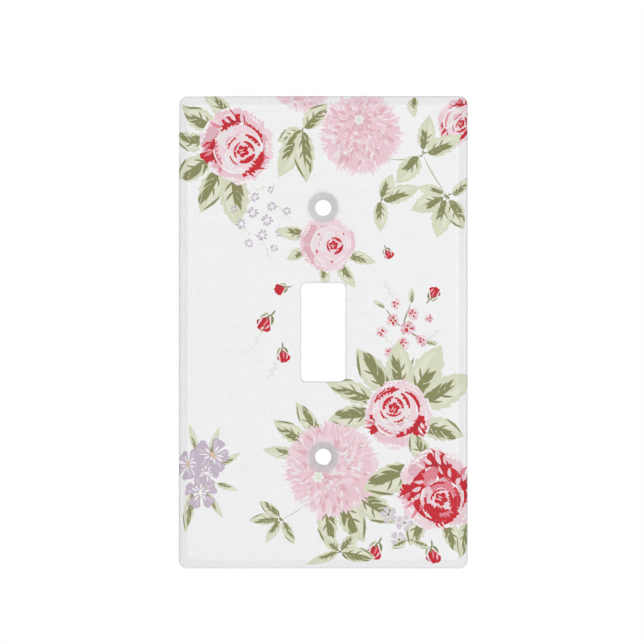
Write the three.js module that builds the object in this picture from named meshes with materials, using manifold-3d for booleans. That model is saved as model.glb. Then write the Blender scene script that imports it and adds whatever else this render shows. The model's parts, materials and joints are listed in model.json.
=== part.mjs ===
// A single-gang toggle wall plate: one moulded shell with a printed film over its front.
// Millimetres, +Z up. The plate stands upright, its front faces -Y and its rim lies on the wall plane y = 0.
// Each shape is built lying down, with x across, y up the plate and z the height above the wall,
// and the whole group is then turned upright.

import * as THREE from 'three';
import { mergeVertices } from 'three/addons/utils/BufferGeometryUtils.js';
import Module from 'manifold-3d';

// Outline and front
const PLATE_WIDTH = 69.85;
const PLATE_HEIGHT = 114.3;
const PLATE_DEPTH = 5.6;
const OUTLINE_CORNER_RADIUS = 2.0;
const FACE_CORNER_RADIUS = 0.7;

// Edge of the front, from the side wall to the flat face
const BEVEL_SLOPE = THREE.MathUtils.degToRad(30);
const BEVEL_RUN = 1.45;
const EDGE_RADIUS = 1.2;
const RIDGE_RADIUS = 1.4;

// Printed film and the thin layer of adhesive under it
const FILM_THICKNESS = 0.15;
const ADHESIVE_GAP = 0.05;
const FILM_SEAT = FILM_THICKNESS + ADHESIVE_GAP;
const FILM_FOOT = 0.4;
const SHELL_LIP = FILM_FOOT - ADHESIVE_GAP;

// Toggle opening
const OPENING_WIDTH = 10.86;
const OPENING_HEIGHT = 23.9;
const OPENING_CORNER_RADIUS = 1.25;
const OPENING_EDGE_RADIUS = 0.5;
const OPENING_FILM_WRAP = 0.7;

// Screw holes for 6-32 oval-head screws
const SCREW_SPACING = 60.325;
const SCREW_HOLE_RADIUS = 1.98;
const COUNTERSINK_RADIUS = 3.7;
const COUNTERSINK_HALF_ANGLE = THREE.MathUtils.degToRad(41);
const COUNTERSINK_EDGE_RADIUS = 0.45;

// Back of the moulding
const FACE_THICKNESS = 2.3;
const WALL_THICKNESS = 1.9;
const WALL_DRAFT = 0.15;
const CAVITY_CORNER_RADIUS = 1.2;
const CAVITY_FILLET = 0.5;
const STRAP_CLEARANCE = 1.5;
const COLLAR_WALL = 1.4;
const COLLAR_DRAFT = 0.2;
const BOSS_BASE_RADIUS = 4.8;
const BOSS_TIP_RADIUS = 4.0;
const RIB_THICKNESS = 1.0;
const RIB_DEPTH = 1.6;
const RIB_OVERLAP = 0.4;
const LONG_RIB_X = 17;
const CROSS_RIBS = [(OPENING_HEIGHT + COLLAR_WALL) / 2, SCREW_SPACING / 2, 45.5];
const PAD_RADIUS = 2.2;
const PAD_HEIGHT = 0.25;
const PAD_COLUMNS = [
  { x: 25.5, heights: [-37.8, 0, 37.8] },
  { x: 8.5, heights: [-50.2, 50.2] },
];

// Fineness of the curved surfaces
const CORNER_SEGMENTS = 6;
const EDGE_STEPS = 4;
const RIDGE_STEPS = 3;
const ROUNDING_STEPS = 3;
const HOLE_SEGMENTS = 32;
const PAD_SEGMENTS = 20;

const CUT_MARGIN = 1;
const CAVITY_HEIGHT = PLATE_DEPTH - FACE_THICKNESS;
const EDGE_RUN = EDGE_RADIUS * (1 - Math.sin(BEVEL_SLOPE));
const FACE_INSET = EDGE_RUN + BEVEL_RUN + RIDGE_RADIUS * Math.sin(BEVEL_SLOPE);
const QUARTER_TURN = Math.PI / 2;

const wasm = await Module();
wasm.setup();

// Solids and geometries

function toSolid(geometry) {
  const bare = geometry.index ? geometry.toNonIndexed() : geometry.clone();
  bare.deleteAttribute('normal');
  bare.deleteAttribute('uv');
  const merged = mergeVertices(bare, 1e-5);
  return new wasm.Manifold(new wasm.Mesh({
    numProp: 3,
    vertProperties: new Float32Array(merged.attributes.position.array),
    triVerts: new Uint32Array(merged.index.array),
  }));
}

function toGeometry(solid) {
  const mesh = solid.getMesh();
  const geometry = new THREE.BufferGeometry();
  geometry.setAttribute('position', new THREE.BufferAttribute(mesh.vertProperties, 3));
  geometry.setIndex(new THREE.BufferAttribute(mesh.triVerts, 1));
  geometry.computeVertexNormals();
  return geometry;
}

function unite(solids) {
  return solids.reduce((sum, solid) => sum.add(solid));
}

// A rounded rectangle with corner radius 1 and half sizes 2, which every loft starts from.
function unitOutline() {
  const outline = new THREE.Shape();
  outline.absarc(1, 1, 1, 0, QUARTER_TURN);
  outline.absarc(-1, 1, 1, QUARTER_TURN, 2 * QUARTER_TURN);
  outline.absarc(-1, -1, 1, 2 * QUARTER_TURN, 3 * QUARTER_TURN);
  outline.absarc(1, -1, 1, 3 * QUARTER_TURN, 4 * QUARTER_TURN);
  return outline;
}

// A closed solid through a stack of rounded rectangles, each { halfWidth, halfHeight, radius, height }.
// An extrusion with one step per level is stretched so that each of its rings takes its level's size.
function loft(levels) {
  const steps = levels.length - 1;
  const geometry = new THREE.ExtrudeGeometry(unitOutline(), {
    depth: steps,
    steps,
    bevelEnabled: false,
    curveSegments: CORNER_SEGMENTS,
  });
  const place = (coordinate, halfSize, radius) =>
    Math.sign(coordinate) * (halfSize - radius + radius * (Math.abs(coordinate) - 1));
  const position = geometry.attributes.position;
  for (let i = 0; i < position.count; i++) {
    const level = levels[Math.round(position.getZ(i))];
    position.setXYZ(
      i,
      place(position.getX(i), level.halfWidth, level.radius),
      place(position.getY(i), level.halfHeight, level.radius),
      level.height,
    );
  }
  return toSolid(geometry);
}

// A solid of revolution about z from [radius, height] points that start and end on the axis.
function turned(points, x, y, segments = HOLE_SEGMENTS) {
  const profile = points.map(([radius, height]) => new THREE.Vector2(radius, height));
  const geometry = new THREE.LatheGeometry(profile, segments);
  geometry.rotateX(QUARTER_TURN);
  geometry.translate(x, y, 0);
  return toSolid(geometry);
}

function block(sizeX, sizeY, x, y, low, high) {
  const geometry = new THREE.BoxGeometry(sizeX, sizeY, high - low);
  geometry.translate(x, y, (low + high) / 2);
  return toSolid(geometry);
}

// Front surfaces. Each is given for a depth below the outer skin, so that the film's outside (0), the
// film's inside (FILM_THICKNESS) and the shell's seat (FILM_SEAT) run parallel.

// The corner gets tighter from the outline to the flat face.
function cornerRadius(inset) {
  return THREE.MathUtils.lerp(OUTLINE_CORNER_RADIUS, FACE_CORNER_RADIUS, inset / FACE_INSET);
}

// One ring of the outside, at a point of the skin whose outward normal rises by tilt from the wall plane.
function skinLevel(inset, height, tilt, below) {
  const shift = below * Math.cos(tilt);
  return {
    halfWidth: PLATE_WIDTH / 2 - inset - shift,
    halfHeight: PLATE_HEIGHT / 2 - inset - shift,
    radius: cornerRadius(inset) - shift,
    height: height - below * Math.sin(tilt),
  };
}

// The rings from the top of the side wall over the rounded edge, the bevel and the ridge to the face.
function edgeLevels(below) {
  const ridgeDrop = RIDGE_RADIUS * (1 - Math.cos(BEVEL_SLOPE));
  const bevelDrop = BEVEL_RUN * Math.tan(BEVEL_SLOPE);
  const edgeCentre = PLATE_DEPTH - ridgeDrop - bevelDrop - EDGE_RADIUS * Math.cos(BEVEL_SLOPE);
  const bevelTilt = QUARTER_TURN - BEVEL_SLOPE;
  const levels = [];
  for (let i = 0; i <= EDGE_STEPS; i++) {
    const tilt = (bevelTilt * i) / EDGE_STEPS;
    const inset = EDGE_RADIUS * (1 - Math.cos(tilt));
    levels.push(skinLevel(inset, edgeCentre + EDGE_RADIUS * Math.sin(tilt), tilt, below));
  }
  for (let i = 0; i <= RIDGE_STEPS; i++) {
    const tilt = bevelTilt + (BEVEL_SLOPE * i) / RIDGE_STEPS;
    const inset = FACE_INSET - RIDGE_RADIUS * Math.cos(tilt);
    levels.push(skinLevel(inset, PLATE_DEPTH - RIDGE_RADIUS * (1 - Math.sin(tilt)), tilt, below));
  }
  return levels;
}

function envelope(below, foot) {
  return loft([skinLevel(0, foot, 0, below), ...edgeLevels(below)]);
}

function openingLevel(grow, height) {
  return {
    halfWidth: OPENING_WIDTH / 2 + grow,
    halfHeight: OPENING_HEIGHT / 2 + grow,
    radius: OPENING_CORNER_RADIUS + grow,
    height,
  };
}

// The space of the toggle opening, which flares over its rounded front edge.
function openingCut(below, foot) {
  const centre = PLATE_DEPTH - OPENING_EDGE_RADIUS;
  const radius = OPENING_EDGE_RADIUS - below;
  const levels = [openingLevel(below, foot)];
  for (let i = 0; i <= ROUNDING_STEPS; i++) {
    const tilt = (QUARTER_TURN * i) / ROUNDING_STEPS;
    const grow = OPENING_EDGE_RADIUS - radius * Math.cos(tilt);
    levels.push(openingLevel(grow, centre + radius * Math.sin(tilt)));
  }
  levels.push(openingLevel(OPENING_EDGE_RADIUS, PLATE_DEPTH + CUT_MARGIN));
  return loft(levels);
}

// The space of one screw hole: a plain hole, the cone of the countersink and its rounded rim.
function screwCut(below, y) {
  const rimRadius = COUNTERSINK_EDGE_RADIUS - below;
  const sin = Math.sin(COUNTERSINK_HALF_ANGLE);
  const cos = Math.cos(COUNTERSINK_HALF_ANGLE);
  const rimCentre = COUNTERSINK_RADIUS + (COUNTERSINK_EDGE_RADIUS * (1 - sin)) / cos;
  const coneDepth = (COUNTERSINK_RADIUS - SCREW_HOLE_RADIUS) * (cos / sin) + below / sin;
  const points = [
    [0, -CUT_MARGIN],
    [SCREW_HOLE_RADIUS, -CUT_MARGIN],
    [SCREW_HOLE_RADIUS, PLATE_DEPTH - coneDepth],
  ];
  for (let i = 0; i <= ROUNDING_STEPS; i++) {
    const tilt = THREE.MathUtils.lerp(COUNTERSINK_HALF_ANGLE, QUARTER_TURN, i / ROUNDING_STEPS);
    points.push([
      rimCentre - rimRadius * Math.cos(tilt),
      PLATE_DEPTH - COUNTERSINK_EDGE_RADIUS + rimRadius * Math.sin(tilt),
    ]);
  }
  points.push([rimCentre, PLATE_DEPTH + CUT_MARGIN], [0, PLATE_DEPTH + CUT_MARGIN]);
  return turned(points, 0, y);
}

function screwCuts(below) {
  return unite([1, -1].map((side) => screwCut(below, (side * SCREW_SPACING) / 2)));
}

// Back of the moulding

function cavityLevel(inset, height) {
  return {
    halfWidth: PLATE_WIDTH / 2 - inset,
    halfHeight: PLATE_HEIGHT / 2 - inset,
    radius: CAVITY_CORNER_RADIUS,
    height,
  };
}

function cavity() {
  return loft([
    cavityLevel(WALL_THICKNESS, -CUT_MARGIN),
    cavityLevel(WALL_THICKNESS, 0),
    cavityLevel(WALL_THICKNESS + WALL_DRAFT, CAVITY_HEIGHT - CAVITY_FILLET),
    cavityLevel(WALL_THICKNESS + WALL_DRAFT + CAVITY_FILLET, CAVITY_HEIGHT),
  ]);
}

function openingCollar() {
  return loft([
    openingLevel(COLLAR_WALL, STRAP_CLEARANCE),
    openingLevel(COLLAR_WALL + COLLAR_DRAFT, CAVITY_HEIGHT + RIB_OVERLAP),
  ]);
}

function boss(y) {
  return turned([
    [0, STRAP_CLEARANCE],
    [BOSS_TIP_RADIUS, STRAP_CLEARANCE],
    [BOSS_BASE_RADIUS, CAVITY_HEIGHT + RIB_OVERLAP],
    [0, CAVITY_HEIGHT + RIB_OVERLAP],
  ], 0, y);
}

// Long and cross ribs run into the perimeter wall at both ends.
function ribs() {
  const reachX = PLATE_WIDTH - 2 * WALL_THICKNESS + 2 * RIB_OVERLAP;
  const reachY = PLATE_HEIGHT - 2 * WALL_THICKNESS + 2 * RIB_OVERLAP;
  const low = CAVITY_HEIGHT - RIB_DEPTH;
  const high = CAVITY_HEIGHT + RIB_OVERLAP;
  const solids = [];
  for (const side of [1, -1]) {
    solids.push(block(RIB_THICKNESS, reachY, side * LONG_RIB_X, 0, low, high));
    for (const y of CROSS_RIBS) {
      solids.push(block(reachX, RIB_THICKNESS, 0, side * y, low, high));
    }
  }
  return unite(solids);
}

// Low round pads where the ejector pins push the moulding out of its mould.
function ejectorPads() {
  const low = CAVITY_HEIGHT - PAD_HEIGHT;
  const high = CAVITY_HEIGHT + RIB_OVERLAP;
  const points = [[0, low], [PAD_RADIUS, low], [PAD_RADIUS, high], [0, high]];
  const solids = [];
  for (const { x, heights } of PAD_COLUMNS) {
    for (const y of heights) {
      solids.push(turned(points, x, y, PAD_SEGMENTS));
      solids.push(turned(points, -x, y, PAD_SEGMENTS));
    }
  }
  return unite(solids);
}

// The two pieces

function plateShell() {
  const lip = loft([skinLevel(0, 0, 0, 0), skinLevel(0, SHELL_LIP, 0, 0)]);
  const filmEnd = PLATE_DEPTH - OPENING_EDGE_RADIUS - OPENING_FILM_WRAP - ADHESIVE_GAP;
  const openingWall = loft([openingLevel(0, -CUT_MARGIN), openingLevel(0, PLATE_DEPTH)]);
  return envelope(FILM_SEAT, 0)
    .add(lip)
    .subtract(cavity())
    .add(openingCollar())
    .add(boss(SCREW_SPACING / 2))
    .add(boss(-SCREW_SPACING / 2))
    .add(ribs())
    .add(ejectorPads())
    .subtract(openingWall)
    .subtract(openingCut(FILM_SEAT, filmEnd))
    .subtract(screwCuts(FILM_SEAT));
}

function printFilm() {
  const filmEnd = PLATE_DEPTH - OPENING_EDGE_RADIUS - OPENING_FILM_WRAP;
  const inside = envelope(FILM_THICKNESS, -CUT_MARGIN)
    .subtract(openingCut(FILM_THICKNESS, filmEnd))
    .subtract(screwCuts(FILM_THICKNESS));
  return envelope(0, FILM_FOOT)
    .subtract(inside)
    .subtract(openingCut(0, -CUT_MARGIN))
    .subtract(screwCuts(0));
}

function piece(name, solid, color, roughness) {
  const material = new THREE.MeshStandardMaterial({ color, roughness, metalness: 0 });
  const mesh = new THREE.Mesh(toGeometry(solid), material);
  mesh.name = name;
  return mesh;
}

const wallPlate = new THREE.Group();
wallPlate.name = 'wall_plate';
wallPlate.add(piece('plate_shell', plateShell(), 0xf2f2f0, 0.35));
wallPlate.add(piece('print_film', printFilm(), 0xece7e4, 0.2));
wallPlate.rotation.x = QUARTER_TURN;

export default wallPlate;
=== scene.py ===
"""The looks of a printed single-gang toggle wall plate: a white moulded shell under a glossy film,
with roses, peonies and leaves printed on the film."""
import json
import math
import random

import bmesh
import bpy
import numpy as np
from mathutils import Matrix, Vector
from mathutils.geometry import delaunay_2d_cdt


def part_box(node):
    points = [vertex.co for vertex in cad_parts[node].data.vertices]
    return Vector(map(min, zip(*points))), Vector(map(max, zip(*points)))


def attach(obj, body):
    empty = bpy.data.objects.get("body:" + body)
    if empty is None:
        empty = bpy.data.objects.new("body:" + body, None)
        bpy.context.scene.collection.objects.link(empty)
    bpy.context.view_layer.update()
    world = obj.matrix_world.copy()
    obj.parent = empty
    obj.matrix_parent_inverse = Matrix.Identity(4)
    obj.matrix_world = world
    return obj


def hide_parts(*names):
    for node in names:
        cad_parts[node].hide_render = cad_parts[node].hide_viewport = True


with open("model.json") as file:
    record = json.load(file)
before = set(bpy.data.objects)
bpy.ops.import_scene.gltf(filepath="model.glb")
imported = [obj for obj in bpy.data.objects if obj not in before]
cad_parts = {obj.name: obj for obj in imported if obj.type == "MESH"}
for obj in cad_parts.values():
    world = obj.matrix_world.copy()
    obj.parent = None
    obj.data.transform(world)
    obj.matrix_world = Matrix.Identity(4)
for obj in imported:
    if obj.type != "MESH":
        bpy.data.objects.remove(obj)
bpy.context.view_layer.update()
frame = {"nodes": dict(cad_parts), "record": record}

MM = 0.001

# Sizes of the plate in millimetres, as (x across, z up the plate, height above the wall)
FILM_LOW, FILM_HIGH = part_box("print_film")
HALF_SIZE = np.array([FILM_HIGH.x, FILM_HIGH.z]) / MM
DEPTH = -FILM_LOW.y / MM
FILM_FOOT = -FILM_HIGH.y / MM
FILM_THICKNESS = 0.15

OUTLINE_CORNER_RADIUS = 2.0
FACE_CORNER_RADIUS = 0.7
BEVEL_SLOPE = math.radians(30)
BEVEL_RUN = 1.45
EDGE_RADIUS = 1.2
RIDGE_RADIUS = 1.4

OPENING_HALF_SIZE = np.array([5.43, 11.95])
OPENING_CORNER_RADIUS = 1.25
OPENING_EDGE_RADIUS = 0.5
OPENING_FILM_WRAP = 0.7

BOSSES = [mount for mount in frame["record"]["mounts"] if mount["name"].startswith("boss_")]
SCREW_HEIGHTS = [mount["pos_m"][2] / MM for mount in BOSSES]
SCREW_HOLE_RADIUS = 1.98
COUNTERSINK_RADIUS = 3.7
COUNTERSINK_SLOPE = math.radians(49)
COUNTERSINK_EDGE_RADIUS = 0.45


def add_object(name, data):
    """A new object in the scene."""
    item = bpy.data.objects.new(name, data)
    bpy.context.scene.collection.objects.link(item)
    return item


# The printed pattern, in millimetres on the front: x to the right and z up from the plate's centre.
# It is a list of patches, each an ink and a closed outline, painted one over the other.
# A motif is drawn in a frame of its own, where 1 is a flower's radius or a leaf's length.

INK = {
    "ground": (0.941, 0.941, 0.945),
    "red": (0.775, 0.085, 0.155),
    "crimson": (0.68, 0.10, 0.17),
    "coral": (0.87, 0.50, 0.56),
    "rose": (0.87, 0.69, 0.735),
    "pink": (0.905, 0.775, 0.81),
    "blush": (0.925, 0.83, 0.855),
    "pearl": (0.915, 0.875, 0.885),
    "milk": (0.945, 0.935, 0.935),
    "leaf": (0.835, 0.845, 0.745),
    "leaf_pale": (0.875, 0.88, 0.80),
    "moss": (0.70, 0.70, 0.56),
    "olive": (0.53, 0.53, 0.35),
    "mist": (0.865, 0.88, 0.82),
    "lilac": (0.765, 0.705, 0.765),
    "lilac_soft": (0.825, 0.785, 0.825),
    "straw": (0.86, 0.74, 0.62),
    # The next grey is not an ink of the print. It is a painted shade, mixed over the print in the
    # countersinks.
    "thin": (0.83, 0.83, 0.835),
}

DAB_STEPS = 6
COMB_ARC_STEPS = 8
LEAF_TEETH = 5
ROSE_HEART = 0.5
ROSE_GLOBE_PLACE = (-0.07, -0.04)
ROSE_EYE_PLACE = (-0.19, -0.17)
PEONY_HEART_PLACE = (0.1, 0.3)
PEONY_SPOKES = 5
# Each ring of a peony: petals, the degrees that one spans, and its inner and outer radius
PEONY_RINGS = (
    (9, 52, 0.56, 0.94),
    (8, 58, 0.44, 0.80),
    (7, 64, 0.34, 0.66),
    (6, 72, 0.22, 0.50),
    (5, 84, 0.12, 0.34),
)
TWIG_WIDTH = 0.22
TWIG_LEAF_LENGTH = 0.9
STALK_WIDTH = 0.35
FAN_TWIST = 6
SUNFLOWER_TURN = 137.5


def polar(angle, radius, centre=(0.0, 0.0)):
    """The point at a radius from a centre, with the angle in degrees from +x."""
    turn = math.radians(angle)
    return centre[0] + radius * math.cos(turn), centre[1] + radius * math.sin(turn)


def mix(a, b, share):
    """The value that lies so large a share of the way from a to b."""
    return a + (b - a) * share


class Motif:
    """Paints patches in a frame of its own: its origin at a place, its sizes scaled, turned in degrees."""

    def __init__(self, art, place=(0, 0), scale=1.0, turn=0.0, mirror=False, seed=0):
        self.art = art
        self.place = place
        self.scale = scale
        self.turn = turn
        self.side = -1 if mirror else 1
        self.random = random.Random(seed)

    def vary(self, low, high):
        return self.random.uniform(low, high)

    def paint(self, ink, points):
        across = math.cos(math.radians(self.turn)) * self.scale
        up = math.sin(math.radians(self.turn)) * self.scale
        placed = []
        for x, z in points:
            x *= self.side
            placed.append((self.place[0] + x * across - z * up, self.place[1] + x * up + z * across))
        self.art.append((ink, placed))

    def dab(self, ink, start, end, width, bend=0.0, belly=0.45):
        """A brush mark from start to end, pointed at both ends and widest at belly."""
        run = end[0] - start[0]
        rise = end[1] - start[1]
        length = math.hypot(run, rise)
        power = math.log(0.5) / math.log(belly)
        sides = [[], []]
        for i in range(DAB_STEPS + 1):
            t = i / DAB_STEPS
            half = width / 2 * math.sin(math.pi * t ** power) ** 0.8
            for side, reach in zip(sides, (half, -half)):
                offset = bend * 4 * t * (1 - t) + reach
                x = start[0] + run * t - rise / length * offset
                z = start[1] + rise * t + run / length * offset
                side.append((x, z))
        self.paint(ink, sides[0] + sides[1][-2:0:-1])

    def comb(self, ink, centre, base, tip, start, end, fingers, lean=0.0, notch=0.3):
        """A brushed crescent: an arc of radius base from start to end in degrees, with pointed fingers
        that reach to about radius tip and stand longest in the middle."""
        pitch = (end - start) / fingers
        arc = [mix(end, start, i / COMB_ARC_STEPS) for i in range(COMB_ARC_STEPS + 1)]
        points = [polar(angle, base, centre) for angle in arc]
        for i in range(fingers):
            swell = math.sin(math.pi * (i + 0.5) / fingers) ** 0.5 if end - start < 360 else 1
            reach = mix(base, tip, swell * self.vary(0.6, 1.0))
            dip = mix(base, tip, swell * notch * self.vary(0.3, 1.3))
            angle = start + pitch * (i + self.vary(0.4, 0.6))
            before = angle - pitch * self.vary(0.22, 0.36)
            after = angle + pitch * self.vary(0.22, 0.36)
            points.append(polar(before, mix(dip, reach, 0.4), centre))
            points.append(polar(angle + lean, reach, centre))
            points.append(polar(after, mix(dip, reach, 0.35), centre))
            if i < fingers - 1:
                points.append(polar(start + pitch * (i + 1), dip, centre))
        self.paint(ink, points)

    def petal(self, ink, centre, angle, span, inner, outer, lobes=2, ragged=0.03):
        """A petal that opens outwards, with a scalloped outer edge."""
        steps = 4 * lobes
        shoulder = mix(inner, outer, 0.6)
        points = [polar(angle + span * 0.32, inner, centre), polar(angle - span * 0.32, inner, centre)]
        points.append(polar(angle - span * 0.5, shoulder, centre))
        for i in range(steps + 1):
            t = i / steps
            scallop = abs(math.sin(math.pi * t * lobes)) ** 0.5
            crown = 1 - (2 * t - 1) ** 4 * 0.10
            radius = outer * (crown - 0.05 * (1 - scallop) + self.vary(-ragged, ragged))
            points.append(polar(angle + span * (t - 0.5), radius, centre))
        points.append(polar(angle + span * 0.5, shoulder, centre))
        self.paint(ink, points)

    def blob(self, ink, centre, radius, lobes, depth):
        """A rounded patch with a softly lobed outline."""
        points = []
        steps = 5 * lobes
        offset = self.vary(0, 360)
        for i in range(steps):
            swell = 1 - depth * (1 - abs(math.sin(math.pi * i / 5))) + self.vary(-0.02, 0.02)
            points.append(polar(360 * i / steps + offset, radius * swell, centre))
        self.paint(ink, points)


def leaf(art, base, tip, width, shade, dark, bend=0.0):
    """A toothed leaf from base to tip. A dark brush runs up its midrib and combs out on the side that
    shade names, and dark says how much of the leaf it covers."""
    length = math.hypot(tip[0] - base[0], tip[1] - base[1])
    turn = math.degrees(math.atan2(tip[1] - base[1], tip[0] - base[0]))
    m = Motif(art, base, length, turn, seed=round(base[0] * 31 + base[1] * 17 + tip[0] * 7 + 999))
    half = width / length / 2

    def at(t, side):
        """The point at t along the leaf and at side times its half width."""
        swell = 2.42 * t ** 0.55 * (1 - t) ** 0.75 if 0 < t < 1 else 0
        return t, side * half * swell + bend * 4 * t * (1 - t)

    outline = [at(0, 0)]
    for side in (1, -1):
        edge = []
        for i in range(LEAF_TEETH):
            start = 0.03 + 0.94 * i / LEAF_TEETH
            edge.append(at(start + 0.02, side * m.vary(0.88, 0.94)))
            edge.append(at(start + 0.10, side * m.vary(0.98, 1.03)))
            edge.append(at(start + 0.18, side * m.vary(1.04, 1.14)))
        outline += edge + [at(1.04, 0)] if side > 0 else edge[::-1]
    m.paint("leaf", outline)
    m.paint("leaf_pale", [at(0.1, -shade * 0.15), at(0.35, -shade * 0.75), at(0.7, -shade * 0.7),
                          at(0.9, -shade * 0.2), at(0.55, -shade * 0.22)])

    reach = 0.42 + 0.40 * dark
    strokes = 3 + round(3 * dark)
    m.dab("olive", at(0, 0), at(reach, shade * 0.05), half * 0.34, belly=0.35)
    for i in range(strokes):
        foot = reach * 0.85 * i / strokes
        out = min(1, 0.4 + dark * 0.5) * m.vary(0.7, 1.0)
        tip_at = foot + reach * m.vary(0.28, 0.44)
        breadth = half * m.vary(0.24, 0.38)
        sweep = shade * half * 0.12
        m.dab("olive", at(foot, -shade * 0.08), at(tip_at, shade * out), breadth, sweep, belly=0.4)
    for i in range(2):
        foot = reach * (0.5 - 0.3 * i)
        vein_end = at(foot + 0.2, -shade * m.vary(0.45, 0.7))
        m.dab("olive", at(foot, 0), vein_end, half * 0.16, -shade * half * 0.05)
    if dark > 0.7:
        m.dab("olive", at(0.5, -shade * 1.02), at(0.97, -shade * 0.15), half * 0.2, -shade * 0.02)
        m.dab("olive", at(0.86, shade * 0.9), at(0.6, shade * 0.72), half * 0.2, 0.01, belly=0.3)


def petal_ring(m, centre, petals, span, inner, outer, inks, shadow, reach, lean=0.0):
    """A ring of overlapping petals. Shadow is the ink that is brushed out of each petal's foot, furthest
    on the petals that point along the flower's own +x."""
    start = m.vary(0, 360)
    for i in range(petals):
        angle = start + 360 * i / petals + m.vary(-8, 8)
        size = outer * m.vary(0.92, 1.04)
        m.petal(m.random.choice(inks), centre, angle, span, inner, size, lobes=m.random.choice((1, 2, 2, 3)))
        light = mix(inner, size, 0.72)
        m.comb("milk", centre, size * 0.985, light, angle - span * 0.3, angle + span * 0.2, 4, -lean)
        away = abs((angle + 180) % 360 - 180)
        strength = reach * mix(1.0, 0.5, away / 180)
        half = span * m.vary(0.34, 0.46)
        m.comb(shadow, centre, inner, mix(inner, size, strength), angle - half, angle + half,
               max(3, round(span / 9)), lean)


def rose(art, centre, radius, turn, seed, mirror=False, deep=(), folds=(), globe_inks=("pearl", "blush")):
    """An open rose: loose outer petals round a pale globe with a low red heart. Deep and folds list the
    arcs, as pairs of degrees, where deep red shows between the outer petals and inside the globe."""
    m = Motif(art, centre, radius, turn, mirror, seed)
    draw_outer_petals(m, deep)
    draw_globe(m, deep, folds, globe_inks)
    draw_heart(m, deep, globe_inks)


def draw_outer_petals(m, deep):
    """A rose's loose outer petals."""
    middle = (0, 0)
    petal_ring(m, middle, 8, 56, 0.5, 1.0, ("pink", "blush"), "rose", 0.7)
    petal_ring(m, middle, 7, 60, 0.5, 0.9, ("pink", "blush", "rose"), "coral" if deep else "rose", 0.6)
    for start, end in deep:
        m.comb("red", middle, 0.5, 1.04, start, end, round((end - start) / 10), 7, 0.72)
        m.comb("crimson", middle, 0.5, 0.84, start + 6, end - 6, round((end - start) / 12), 5, 0.5)
        for i in range(round((end - start) / 17)):
            angle = start + 14 + 17 * i + m.vary(-5, 5)
            sliver = m.random.choice(("pink", "blush", "coral"))
            foot = polar(angle, m.vary(0.58, 0.70))
            tip = polar(angle + 9, m.vary(0.84, 0.98))
            m.dab(sliver, foot, tip, m.vary(0.05, 0.11), 0.02)


def draw_globe(m, deep, folds, globe_inks):
    """A rose's globe of closed petals, with small accents on a pale rose."""
    globe = ROSE_GLOBE_PLACE
    petal_ring(m, globe, 6, 74, 0.3, 0.68, globe_inks, "rose", 0.5, -5)
    if deep:
        m.comb("red", globe, 0.64, 0.80, 186, 258, 7, 6, 0.6)
        m.comb("red", globe, 0.63, 0.76, 272, 338, 6, 6, 0.6)
        m.comb("red", globe, 0.66, 0.52, -14, 36, 5, 6, 0.35)
        m.comb("coral", globe, 0.62, 0.46, 60, 128, 6, -6)
    else:
        for i in range(5):
            angle = 72 * i + m.vary(-25, 25)
            foot = m.vary(0.42, 0.62)
            accent = m.random.choice(("red", "coral", "rose"))
            tip = polar(angle + m.vary(6, 16), foot + 0.08, globe)
            m.dab(accent, polar(angle, foot, globe), tip, m.vary(0.04, 0.08), 0.01)
    for start, end in folds:
        m.comb("red", globe, 0.69, 0.40, start, end, round((end - start) / 11), 8, 0.6)
        for i in range(round((end - start) / 24)):
            angle = start + 16 + 24 * i + m.vary(-6, 6)
            m.dab("pink", polar(angle, 0.46, globe), polar(angle + 14, 0.67, globe), m.vary(0.06, 0.12), 0.02)


def draw_heart(m, deep, globe_inks):
    """A rose's heart of small petals round a red eye."""
    heart = ROSE_HEART
    eye = ROSE_EYE_PLACE
    petal_ring(m, eye, 6, 70, 0.16, heart, globe_inks, "coral", 0.42, 5)
    if deep:
        m.comb("red", eye, heart, heart * 0.6, 186, 262, 6, -6, 0.5)
        m.comb("red", eye, heart * 0.94, heart * 0.62, 278, 346, 5, 6, 0.5)
        m.comb("red", eye, heart * 0.8, heart, 18, 70, 4, 6, 0.5)
        m.comb("red", eye, heart * 0.72, heart * 0.9, 96, 146, 4, -6, 0.5)
    m.blob("blush", eye, 0.31, 5, 0.16)
    m.comb("red", eye, 0.31, 0.12, 146, 252, 5, -10, 0.55)
    m.comb("red", eye, 0.29, 0.13, 260, 350, 5, 10, 0.55)
    m.comb("red", eye, 0.27, 0.16, 10, 120, 5, 8, 0.5)
    m.blob("red", (eye[0] + 0.02, eye[1] + 0.02), 0.17, 5, 0.3)
    m.dab("blush", (eye[0] - 0.05, eye[1] + 0.12), (eye[0] - 0.02, eye[1] - 0.03), 0.035, 0.03)
    m.dab("blush", (eye[0] + 0.06, eye[1] + 0.13), (eye[0] + 0.08, eye[1] - 0.01), 0.03, -0.02)


def peony_petal(m, middle, angle, span, inner, size):
    """A ragged petal with brushed spokes, a shaded foot and a light edge."""
    crown = m.random.choice(("blush", "pink", "blush", "pearl"))
    half = span / 2
    m.comb(crown, middle, inner * 0.6, size * 1.04, angle - half, angle + half, 7, m.vary(-4, 4), 0.8)
    for i in range(PEONY_SPOKES):
        spoke = angle + span * (0.2 * i - 0.4) + m.vary(-4, 4)
        foot = mix(inner, size, m.vary(0, 0.3))
        ink = m.random.choice(("rose", "pink", "pink"))
        end_angle = spoke + m.vary(-9, 9)
        end = polar(end_angle, mix(inner, size, m.vary(0.5, 0.95)), middle)
        breadth = m.vary(0.05, 0.11)
        m.dab(ink, polar(spoke, foot, middle), end, breadth, m.vary(-0.03, 0.03), belly=0.35)
    shaded = mix(inner, size, 0.45)
    m.comb("rose", middle, inner * 0.7, shaded, angle - span * 0.46, angle + span * 0.2, 5, 5, 0.2)
    light_foot = polar(angle + span * 0.3, mix(inner, size, 0.5), middle)
    m.dab("milk", light_foot, polar(angle + span * 0.2, size, middle), 0.03)


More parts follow.
